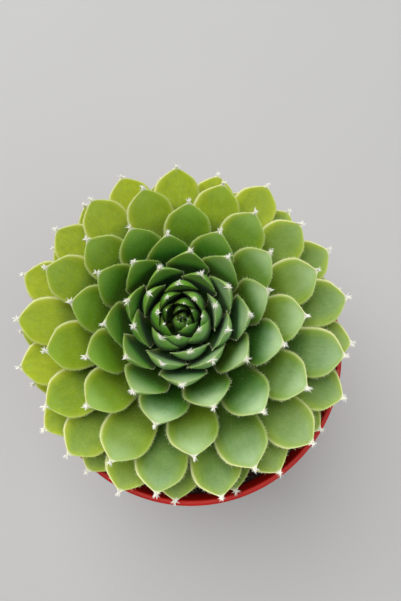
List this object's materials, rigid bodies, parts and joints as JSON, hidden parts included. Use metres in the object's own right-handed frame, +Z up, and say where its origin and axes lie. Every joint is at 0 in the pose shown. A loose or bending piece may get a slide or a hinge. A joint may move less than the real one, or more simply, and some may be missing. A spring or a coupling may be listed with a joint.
{
  "type": "potted sempervivum",
  "caption": "Houseleek rosette of thick pointed leaves in a spiral, growing in dark soil in a round tapered plastic nursery pot.",
  "frame": {"origin": "centre of the flat pad under the pot, on the surface that the pot stands on", "axes": "+Z up along the pot's axis; -Y to the side that faces the viewer, +X to the viewer's right"},
  "size_m": [0.0937, 0.094, 0.0995],
  "materials": {
    "leaf": "satin",
    "pot_plastic": "satin",
    "soil": "matte"
  },
  "bodies": {
    "root": {"rosette": "leaf", "pot": "pot_plastic", "soil": "soil"}
  },
  "joints": []
}
